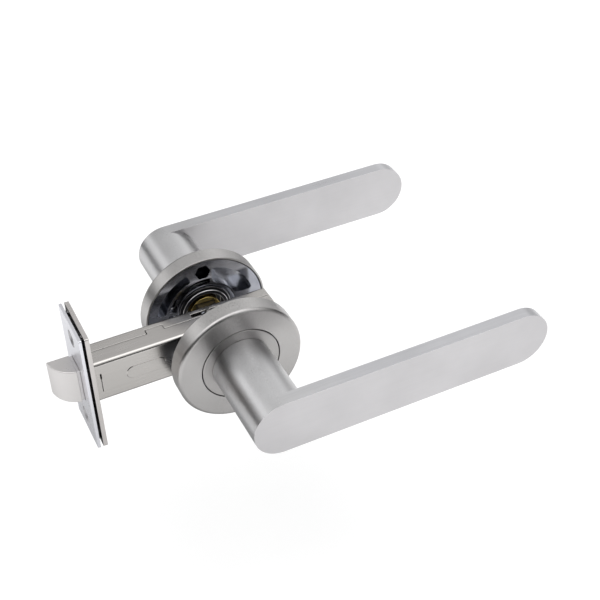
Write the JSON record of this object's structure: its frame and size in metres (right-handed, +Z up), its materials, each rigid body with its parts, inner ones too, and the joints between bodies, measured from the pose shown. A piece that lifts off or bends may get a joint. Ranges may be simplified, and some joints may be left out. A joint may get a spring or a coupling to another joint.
{
  "type": "lever handle lockset",
  "caption": "Passage door lockset: bar levers on round roses turn a spindle that draws back the sprung bolt of a tubular latch.",
  "frame": {"origin": "middle of the spindle, in the centre plane of the latch", "axes": "+X along the levers, away from the door's edge; +Y along the spindle to the inside trim; +Z up"},
  "size_m": [0.1883, 0.123, 0.057],
  "materials": {
    "satin_steel": "satin brushed stainless",
    "latch_steel": "smooth rolled stainless sheet",
    "bolt_steel": "ground stainless",
    "spring_steel": "drawn wire and turned steel",
    "dark_steel": "dark zinc plated",
    "zinc_casting": "as cast zinc alloy",
    "yellow_zinc": "yellow passivated",
    "nylon": "black nylon"
  },
  "bodies": {
    "latch": {"front_faceplate": "satin_steel", "backing_plate": "latch_steel", "case_near_half": "latch_steel", "case_far_half": "latch_steel", "retractor_spring": "spring_steel"},
    "retractor": {"retractor": "latch_steel", "bolt_spring": "spring_steel"},
    "bolt": {"latch_bolt": "bolt_steel", "bolt_tail": "spring_steel", "tail_washer": "spring_steel"},
    "hub": {"latch_hub": "zinc_casting", "spindle": "dark_steel"},
    "outside_trim": {"outside_rose_cover": "satin_steel", "outside_mounting_plate": "zinc_casting", "outside_bearing_bush": "nylon", "outside_return_spring": "spring_steel"},
    "inside_trim": {"inside_rose_cover": "satin_steel", "inside_mounting_plate": "zinc_casting", "inside_bearing_bush": "nylon", "inside_return_spring": "spring_steel"},
    "outside_lever": {"outside_lever_bar": "satin_steel", "outside_lever_neck": "satin_steel", "outside_lever_collar": "satin_steel", "outside_spring_cam": "zinc_casting", "outside_circlip": "spring_steel", "outside_spindle_bush": "yellow_zinc", "outside_grub_screw": "dark_steel"},
    "inside_lever": {"inside_lever_bar": "satin_steel", "inside_lever_neck": "satin_steel", "inside_lever_collar": "satin_steel", "inside_spring_cam": "zinc_casting", "inside_circlip": "spring_steel", "inside_spindle_bush": "yellow_zinc", "inside_grub_screw": "dark_steel"}
  },
  "joints": [
    {"name": "outside_trim_slide", "type": "slide", "parent": "latch", "child": "outside_trim", "axis": [0, -1, 0], "range_m": [0, 0.0085]},
    {"name": "inside_trim_slide", "type": "slide", "parent": "latch", "child": "inside_trim", "axis": [0, 1, 0], "range_m": [0, 0.0085]},
    {"name": "outside_lever_turn", "type": "hinge", "parent": "outside_trim", "child": "outside_lever", "pos_m": [0, 0, 0], "axis": [0, 1, 0], "range_deg": [0, 60], "stiffness_Nm_per_rad": 0.5, "springref_deg": -45.84, "deforming": ["outside_return_spring"]},
    {"name": "inside_lever_turn", "type": "hinge", "parent": "inside_trim", "child": "inside_lever", "pos_m": [0, 0, 0], "axis": [0, 1, 0], "range_deg": [0, 60], "stiffness_Nm_per_rad": 0.5, "springref_deg": -45.84, "deforming": ["inside_return_spring"]},
    {"name": "hub_turn", "type": "hinge", "parent": "latch", "child": "hub", "pos_m": [0, 0, 0], "axis": [0, 1, 0], "range_deg": [0, 60]},
    {"name": "retractor_slide", "type": "slide", "parent": "latch", "child": "retractor", "axis": [1, 0, 0], "range_m": [0, 0.0105], "stiffness_N_per_m": 250, "springref_m": -0.008, "deforming": ["retractor_spring"]},
    {"name": "bolt_slide", "type": "slide", "parent": "retractor", "child": "bolt", "axis": [1, 0, 0], "range_m": [0, 0.0105], "stiffness_N_per_m": 200, "springref_m": -0.008, "deforming": ["bolt_spring"]}
  ],
  "couplings": [
    {"joint": "inside_lever_turn", "follows": "outside_lever_turn", "ratio": 1},
    {"joint": "hub_turn", "follows": "outside_lever_turn", "ratio": 1},
    {"joint": "retractor_slide", "follows": "outside_lever_turn", "m_per_rad": 0.01002}
  ]
}
